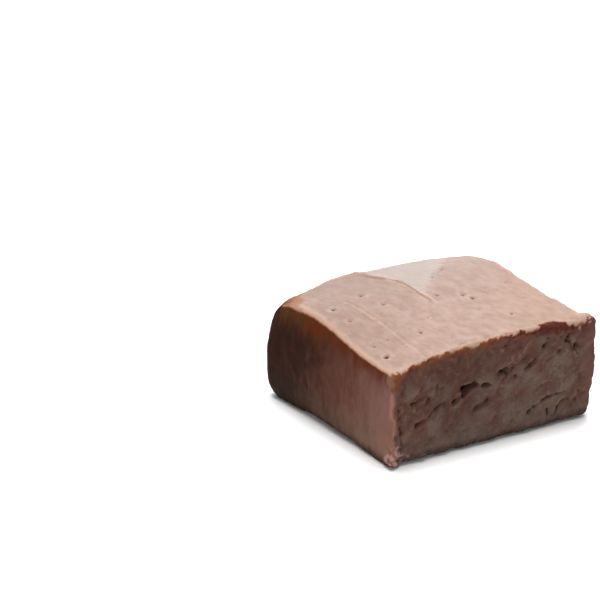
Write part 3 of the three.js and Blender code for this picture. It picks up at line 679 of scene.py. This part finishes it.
# The groove is darkened as painted shade where it is hollow
groove = add(tree, "ShaderNodeMapRange", [frayed_x, -17.4, -18.4, 0.0, 0.75], **EASED)
groove = add(tree, "ShaderNodeMath", [groove, hollow], operation="MULTIPLY")
above_foot = add(tree, "ShaderNodeMapRange", [place["Z"], 8.5, 10.5], **EASED)
at_top = add(tree, "ShaderNodeMapRange", [place["Z"], 14.0, 15.0], **EASED)
burr_colour = painted(tree, BURR_PALE, [(above_foot, BURR_PINK), (at_top, RIM_RED)])
narrower = add(tree, "ShaderNodeMath", [above_foot, 0.95, frayed_x], operation="MULTIPLY_ADD")
left_edge = add(tree, "ShaderNodeMapRange", [narrower, -19.6, -20.2, 0.0, 0.9], **EASED)
top_corner = add(tree, "ShaderNodeMath", [ragged, 2.4, away["near top corner"]], operation="MULTIPLY_ADD")
top_corner = add(tree, "ShaderNodeMapRange", [top_corner, 4.2, 2.4, 0.0, 0.65], **EASED)

# Painted shade along the foot where it meets the table, in a ragged band that rises at the far end of the
# left face
shade_rise = add(tree, "ShaderNodeMapRange", [place["Y"], 10.0, 19.0, 0.0, -2.2], **EASED)
at_left = add(tree, "ShaderNodeMapRange", [place["X"], -18.0, -21.5], **EASED)
off_table = add(tree, "ShaderNodeMath", [shade_rise, at_left, place["Z"]], operation="MULTIPLY_ADD")
off_table = add(tree, "ShaderNodeMath", [ragged, 1.8, off_table], operation="MULTIPLY_ADD")
foot = add(tree, "ShaderNodeMapRange", [off_table, 3.3, 1.5, 0.0, 0.72], **EASED)

# Cut: pale towards the front, partly a painted milky sheen, and darker towards the back in painted shade,
# which its lower part follows too, with rust running down from the rim, less far towards both ends, and a
# golden foot by the front
streaks = add(tree, "ShaderNodeVectorMath", [in_mm, STREAK], operation="DIVIDE")
streaks = add(tree, "ShaderNodeTexNoise", {"Vector": streaks, "Scale": 1, "Detail": 2.0, "Roughness": 0.55})
smears = add(tree, "ShaderNodeVectorMath", [in_mm, SMEAR], operation="DIVIDE")
smears = add(tree, "ShaderNodeTexNoise", {"Vector": smears, "Scale": 1, "Detail": 3.0, "Roughness": 0.65})
# The painted shade deepens towards the back of the left face; the back face gets less of it
farther = add(tree, "ShaderNodeMath", [streaks, 11.0, place["Y"]], operation="MULTIPLY_ADD")
farther = add(tree, "ShaderNodeMath", [smears, 12.0, farther], operation="MULTIPLY_ADD")
farther = add(tree, "ShaderNodeMath", [place["Z"], 0.45, farther], operation="MULTIPLY_ADD")
less_shade_on_back = add(tree, "ShaderNodeMapRange", [towards["Y"], 0.5, 0.9, 0.0, -17.0], **EASED)
farther = add(tree, "ShaderNodeMath", [farther, less_shade_on_back], operation="ADD")
far_shade = add(tree, "ShaderNodeMapRange", [farther, -1.5, 25.0])
half_far_shade = add(tree, "ShaderNodeMapRange", [far_shade, 0.0, 0.5])
full_far_shade = add(tree, "ShaderNodeMapRange", [far_shade, 0.5, 1.0])
low = add(tree, "ShaderNodeMapRange", [place["Z"], 9.0, 2.0, 0.0, 0.8], **EASED)
low_colour = painted(tree, FOOT_NEAR, [(far_shade, FOOT_FAR)])
run_down = add(tree, "ShaderNodeMath", [streaks, -7.0, mask["below"]], operation="MULTIPLY_ADD")
for start, end, loss in (4.0, -16.0, 1.4), (11.0, 18.0, 2.6):
    shorter = add(tree, "ShaderNodeMapRange", [place["Y"], start, end, 0.0, loss])
    run_down = add(tree, "ShaderNodeMath", [run_down, shorter], operation="ADD")
rusty = add(tree, "ShaderNodeMapRange", [run_down, 2.2, -2.2, 0.0, 1.0], **EASED)
amber = add(tree, "ShaderNodeMath", [place["Y"], 0.012, smears], operation="MULTIPLY_ADD")
amber = add(tree, "ShaderNodeMapRange", [amber, 0.50, 0.66], **EASED)
rust_colour = painted(tree, CUT_RUST, [(amber, CUT_AMBER)])
near_edge = add(tree, "ShaderNodeMapRange", [place["Y"], -18.9, -19.6, 0.0, 0.75], **EASED)
near_edge = add(tree, "ShaderNodeMath", [near_edge, above_foot], operation="MULTIPLY")
golden = add(tree, "ShaderNodeMath", [smears, 3.0, away["golden foot"]], operation="MULTIPLY_ADD")
golden = add(tree, "ShaderNodeMapRange", [golden, 6.0, 3.2, 0.0, 0.5], **EASED)
# Painted shade in the dents of the cut faces
dent_shade = add(tree, "ShaderNodeMapRange", [mask["hollow"], 0.05, 0.17, 0.0, 0.6], **EASED)

# Skin: fine soft mottling, painted shade towards the left, ashy towards the back, honeyed towards the right
# and warm along the rims with a painted highlight there and on the left slope, with painted highlights on the
# crests and painted shade in the pits
wiped = add(tree, "ShaderNodeVectorMath", [in_mm, WIPE], operation="DIVIDE")
blotches = add(tree, "ShaderNodeTexNoise", {"Vector": wiped, "Scale": 1, "Detail": 3.0, "Roughness": 0.55})
worn = add(tree, "ShaderNodeMapRange", [blotches, 0.34, 0.66])
# Painted shade towards the left and the back left of the top
left_shade = add(tree, "ShaderNodeMath", [place["Y"], -0.8, place["X"]], operation="MULTIPLY_ADD")
left_shade = add(tree, "ShaderNodeMapRange", [left_shade, 2.0, -22.0, 0.0, 0.28], **EASED)
ashy = add(tree, "ShaderNodeMapRange", [place["Y"], -4.0, 12.0, 0.0, 0.35], **EASED)
honeyed = add(tree, "ShaderNodeMath", [place["Y"], -0.6, place["X"]], operation="MULTIPLY_ADD")
honeyed = add(tree, "ShaderNodeMapRange", [honeyed, 6.0, 26.0, 0.0, 0.36], **EASED)
# Painted highlight where the skin slopes down to the left rim
left_slope_highlight = add(tree, "ShaderNodeMapRange", [towards["X"], -0.14, -0.42, 0.0, 0.7], **EASED)
unevenly = add(tree, "ShaderNodeMapRange", [blotches, 0.40, 0.58, 0.35, 1.0], **EASED)
left_slope_highlight = add(tree, "ShaderNodeMath", [left_slope_highlight, unevenly], operation="MULTIPLY")
# The rims are warm, with a painted highlight along them
warm_rim_highlight = add(tree, "ShaderNodeMapRange", [mask["brink"], 0.92, 0.64, 0.0, 0.9], **EASED)
at_tip = add(tree, "ShaderNodeMapRange", [away["back left tip"], 7.0, 4.0, 0.0, 0.8], **EASED)
at_rim = add(tree, "ShaderNodeMapRange", [mask["brink"], 0.93, 0.80], **EASED)
at_tip = add(tree, "ShaderNodeMath", [at_tip, at_rim], operation="MULTIPLY")
# Painted highlights on the crests and painted shade in the pits
skin_crest_highlight = add(tree, "ShaderNodeMapRange", [mask["hollow"], -0.015, -0.07, 0.0, 0.35], **EASED)
pit_shade = add(tree, "ShaderNodeMapRange", [mask["hollow"], 0.06, 0.20, 0.0, 0.75], **EASED)

# The scoop has a dry bloom past its lip, partly a painted sheen, which a line of painted shade along the
# lip's foot and a painted highlight along its lit side follow
lip_curve = add(tree, "ShaderNodeMapRange", [place["Y"], 8.0, 18.0, 0.8, 4.6], **EASED)
off_lip = add(tree, "ShaderNodeMath", [place["X"], lip_curve], operation="ADD")
past_lip = add(tree, "ShaderNodeMapRange", [off_lip, 0.0, 0.5], **EASED)
far_side = add(tree, "ShaderNodeMath", [place["X"], -0.945, place["Y"]], operation="MULTIPLY_ADD")
far_side = add(tree, "ShaderNodeMath", [ragged, 4.5, far_side], operation="MULTIPLY_ADD")
far_side = add(tree, "ShaderNodeMapRange", [far_side, 3.9, 6.2], **EASED)
# The bloom is partly a painted sheen
bloom_and_sheen = add(tree, "ShaderNodeMath", [past_lip, far_side], operation="MULTIPLY")
bloom_and_sheen = add(tree, "ShaderNodeMath", [bloom_and_sheen, 0.6], operation="MULTIPLY")
lip_near_end = add(tree, "ShaderNodeMapRange", [place["Y"], -1.0, 2.5], **EASED)
lip_far_end = add(tree, "ShaderNodeMapRange", [place["Y"], 17.5, 14.5], **EASED)
lip_length = add(tree, "ShaderNodeMath", [lip_near_end, lip_far_end], operation="MULTIPLY")
drift = add(tree, "ShaderNodeMapRange", [place["Y"], 8.0, 14.0, 0.25, 1.1], **EASED)
off_shade = add(tree, "ShaderNodeMath", [off_lip, drift], operation="ADD")
off_light = add(tree, "ShaderNodeMath", [off_lip, 0.85], operation="SUBTRACT")
lip_lines = []
for off_line, width, line_colour in (off_shade, 0.9, SKIN_SHADE), (off_light, 0.6, SKIN_HIGHLIGHT):
    off_line = add(tree, "ShaderNodeMath", [off_line], operation="ABSOLUTE")
    on_line = add(tree, "ShaderNodeMapRange", [off_line, width, 0.2, 0.0, 0.6], **EASED)
    lip_lines.append((add(tree, "ShaderNodeMath", [on_line, lip_length], operation="MULTIPLY"), line_colour))

torn_colour = painted(tree, TORN_GREY, [
    (reddish, TORN_RED), (torn_crest_highlight, TORN_CREST_HIGHLIGHT), (pale, TORN_FLECK), (dark, TORN_DARK_AND_SHADE), (hollow, TORN_DARK_AND_SHADE),
    (middle, TORN_DARK_AND_SHADE), (rim, rim_colour), (right_edge_highlight, TORN_EDGE_HIGHLIGHT), (groove, RIM_RED),
    (left_edge, burr_colour), (top_corner, RIM_RUST), (foot, SHADE_DARK),
])
cut_colour = painted(tree, CUT_NEAR, [
    (half_far_shade, CUT_MID), (full_far_shade, CUT_FAR), (low, low_colour), (rusty, rust_colour),
    (golden, BURR_PALE), (near_edge, burr_colour), (top_corner, BURR_PALE), (dent_shade, SHADE_DARK),
    (foot, SHADE_DARK),
])
skin_colour = painted(tree, SKIN_PALE, [
    (worn, SKIN_BROWN), (left_shade, SKIN_SHADE), (ashy, SKIN_ASH), (honeyed, SKIN_HONEY), (bloom_and_sheen, SKIN_BLOOM_SHEEN),
    *lip_lines, (left_slope_highlight, SKIN_LEFT_HIGHLIGHT), (warm_rim_highlight, SKIN_WARM_HIGHLIGHT), (at_tip, SKIN_TIP), (skin_crest_highlight, SKIN_HIGHLIGHT),
    (pit_shade, PIT_DARK),
])

# The crumbs at the foot of the front left edge are pink with painted glints, whichever face they cling to
crumbled = add(tree, "ShaderNodeTexNoise", {"Vector": in_mm, "Scale": 1 / CRUMBLE, "Detail": 2.0})
crumbled = add(tree, "ShaderNodeMapRange", [crumbled, 0.43, 0.58], **EASED)
pink = add(tree, "ShaderNodeMath", [flecks, 6.5, away["pink crumbs"]], operation="MULTIPLY_ADD")
pink = add(tree, "ShaderNodeMapRange", [pink, 6.1, 4.8, 0.0, 0.7], **EASED)
pink = add(tree, "ShaderNodeMath", [pink, crumbled], operation="MULTIPLY")
colour = painted(tree, torn_colour,
                 [(mask["cut"], cut_colour), (pink, CRUMB_GLINT_PINK), (mask["skin"], skin_colour)])

roughness = add(tree, "ShaderNodeMapRange", [mask["torn"], 0.0, 1.0, 0.42, 0.75])
grain = add(tree, "ShaderNodeTexNoise",
            {"Vector": in_mm, "Scale": 1 / GRAIN, "Detail": 4.0, "Roughness": 0.7})
strength = add(tree, "ShaderNodeMapRange", [mask["torn"], 0.0, 1.0, 0.08, 0.11])
bump = add(tree, "ShaderNodeBump", {"Height": grain, "Strength": strength, "Distance": 0.15 * MM})
surface = add(tree, "ShaderNodeBsdfPrincipled", {
    "Base Color": colour, "Roughness": roughness, "Normal": bump, "IOR": 1.48, "Specular IOR Level": 0.012,
    "Subsurface Weight": 0.4, "Subsurface Radius": (1.0, 0.42, 0.22), "Subsurface Scale": 0.8 * MM,
})
tree.links.new(surface, tree.nodes.new("ShaderNodeOutputMaterial").inputs[0])
plain.materials.clear()
plain.materials.append(fudge_material)

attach(fudge, "root")
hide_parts("fudge_square")


# The studio: a white table top that runs on past the picture, a soft light overhead, a low one behind
# that lights the top, whose sheen is painted into its colour, a small one near the front left corner, and the
# glow of white walls.
table_mesh = bpy.data.meshes.new("table")
TABLE_HALF = 2.0
corners = [(x * TABLE_HALF, y * TABLE_HALF, 0) for x, y in ((-1, -1), (1, -1), (1, 1), (-1, 1))]
table_mesh.from_pydata(corners, [], [(0, 1, 2, 3)])
table = bpy.data.objects.new("table", table_mesh)
bpy.context.scene.collection.objects.link(table)
table_paint = bpy.data.materials.new("white_laminate")
table_paint.use_nodes = True
table_paint.node_tree.nodes["Principled BSDF"].inputs["Base Color"].default_value = linear("#f7f7f7")
table_paint.node_tree.nodes["Principled BSDF"].inputs["Roughness"].default_value = 0.6
table_mesh.materials.append(table_paint)


def soft_light(name, size, power, place, aim):
    """A square soft light, in metres and watts, turned towards a point"""
    light = bpy.data.lights.new(name, "AREA")
    light.size = size
    light.energy = power
    lamp = bpy.data.objects.new(name, light)
    lamp.location = place
    lamp.rotation_mode = "QUATERNION"
    lamp.rotation_quaternion = (Vector(aim) - Vector(place)).to_track_quat("-Z", "Y")
    bpy.context.scene.collection.objects.link(lamp)


soft_light("overhead_softbox", 0.6, 15, (0.05, 0.1, 1.0), (0, 0, 0))
soft_light("back_softbox", 1.1, 9.5, (0.65, 1.0, 0.65), (0, 0, 0.02))
soft_light("left_softbox", 0.15, 0.12, (-0.12, -0.16, 0.09), (-0.02, -0.02, 0.01))
world = bpy.data.worlds.new("white_walls")
world.use_nodes = True
world.node_tree.nodes["Background"].inputs["Color"].default_value = (1, 1, 1, 1)
world.node_tree.nodes["Background"].inputs["Strength"].default_value = 0.15
bpy.context.scene.world = world
bpy.context.scene.view_settings.view_transform = "Standard"
